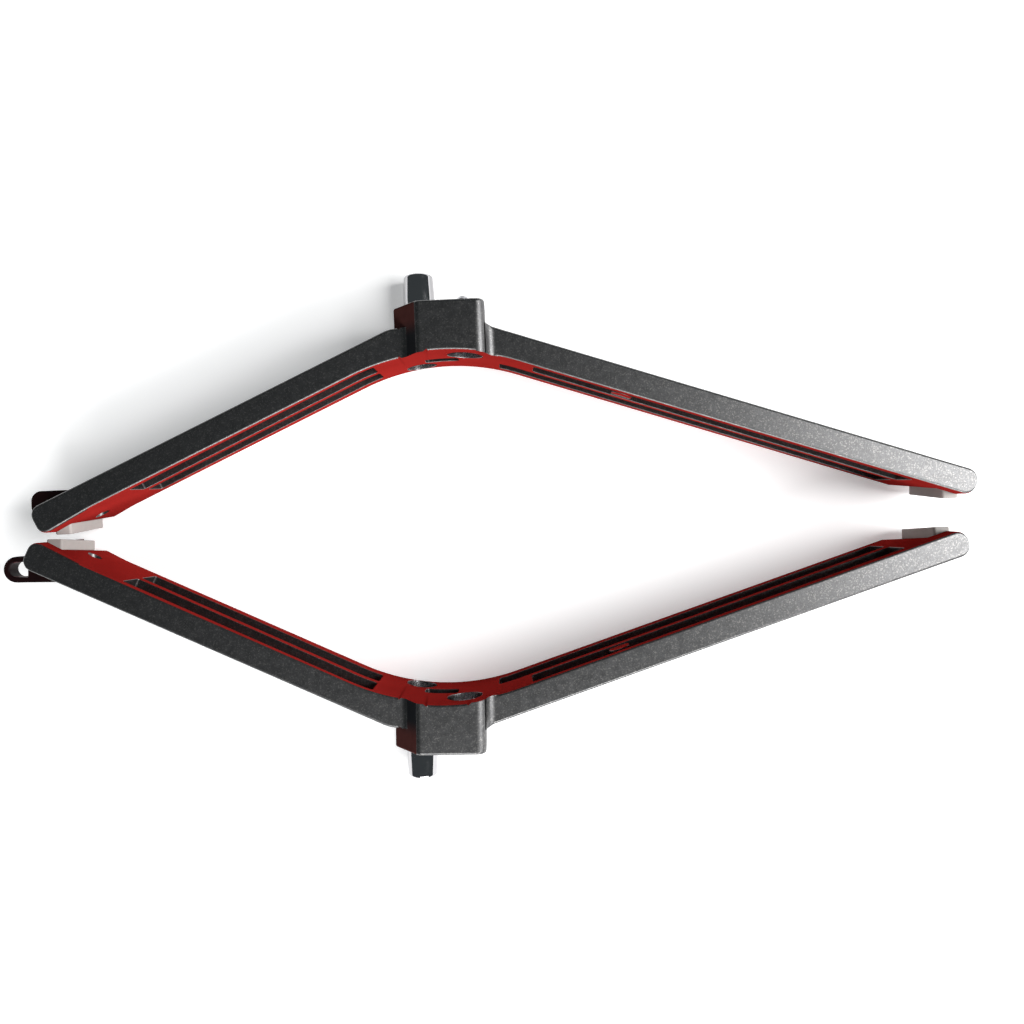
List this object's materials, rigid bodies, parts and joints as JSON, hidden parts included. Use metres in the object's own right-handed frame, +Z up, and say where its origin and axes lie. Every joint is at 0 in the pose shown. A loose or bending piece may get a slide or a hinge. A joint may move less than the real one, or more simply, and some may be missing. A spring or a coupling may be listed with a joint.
{
  "type": "television stand leg pair",
  "caption": "Mirrored pair of die-cast television stand legs, each an unequal inverted V with a hub, a locating post, rubber foot pads and a captive mounting screw.",
  "frame": {"origin": "centre of the pair's outline, on the surface that both legs lie on with their backs down", "axes": "+X along the legs from the short arms to the long arms, +Y across the pair towards the left leg, +Z up from the back faces to the front faces"},
  "size_m": [0.3184, 0.1732, 0.0348],
  "materials": {
    "casting_paint": "satin metallic grey paint with fine flake",
    "post_chrome": "bright chrome plate",
    "screw_steel": "zinc plated steel",
    "pad_rubber": "matte light grey-beige rubber",
    "clip_plastic": "near-black maroon moulded plastic",
    "retainer_nylon": "natural nylon"
  },
  "bodies": {
    "root": {"left_leg_casting": "casting_paint", "left_post": "post_chrome", "left_post_screw": "screw_steel", "left_post_washer": "screw_steel", "left_screw_retainer": "retainer_nylon", "left_short_pad": "pad_rubber", "left_long_pad": "pad_rubber", "right_leg_casting": "casting_paint", "right_post": "post_chrome", "right_post_screw": "screw_steel", "right_post_washer": "screw_steel", "right_screw_retainer": "retainer_nylon", "right_short_pad": "pad_rubber", "right_long_pad": "pad_rubber", "left_end_plug": "clip_plastic", "left_plug_screw": "screw_steel", "right_cable_clip": "clip_plastic", "right_clip_screw": "screw_steel"},
    "left_mount_screw": {"left_mount_screw": "screw_steel"},
    "left_mount_washer": {"left_mount_washer": "screw_steel"},
    "right_mount_screw": {"right_mount_screw": "screw_steel"},
    "right_mount_washer": {"right_mount_washer": "screw_steel"}
  },
  "joints": [
    {"name": "left_mount_slide", "type": "slide", "parent": "root", "child": "left_mount_washer", "axis": [-0.0152, 0.9999, 0], "range_m": [-0.004, 0.0021]},
    {"name": "left_mount_turn", "type": "hinge", "parent": "left_mount_washer", "child": "left_mount_screw", "pos_m": [-0.00262, 0.06691, 0.0244], "axis": [-0.0152, 0.9999, 0], "continuous": true},
    {"name": "right_mount_slide", "type": "slide", "parent": "root", "child": "right_mount_washer", "axis": [-0.0152, -0.9999, 0], "range_m": [-0.0007, 0.0054]},
    {"name": "right_mount_turn", "type": "hinge", "parent": "right_mount_washer", "child": "right_mount_screw", "pos_m": [-0.00562, -0.06691, 0.0244], "axis": [-0.0152, -0.9999, 0], "continuous": true}
  ]
}
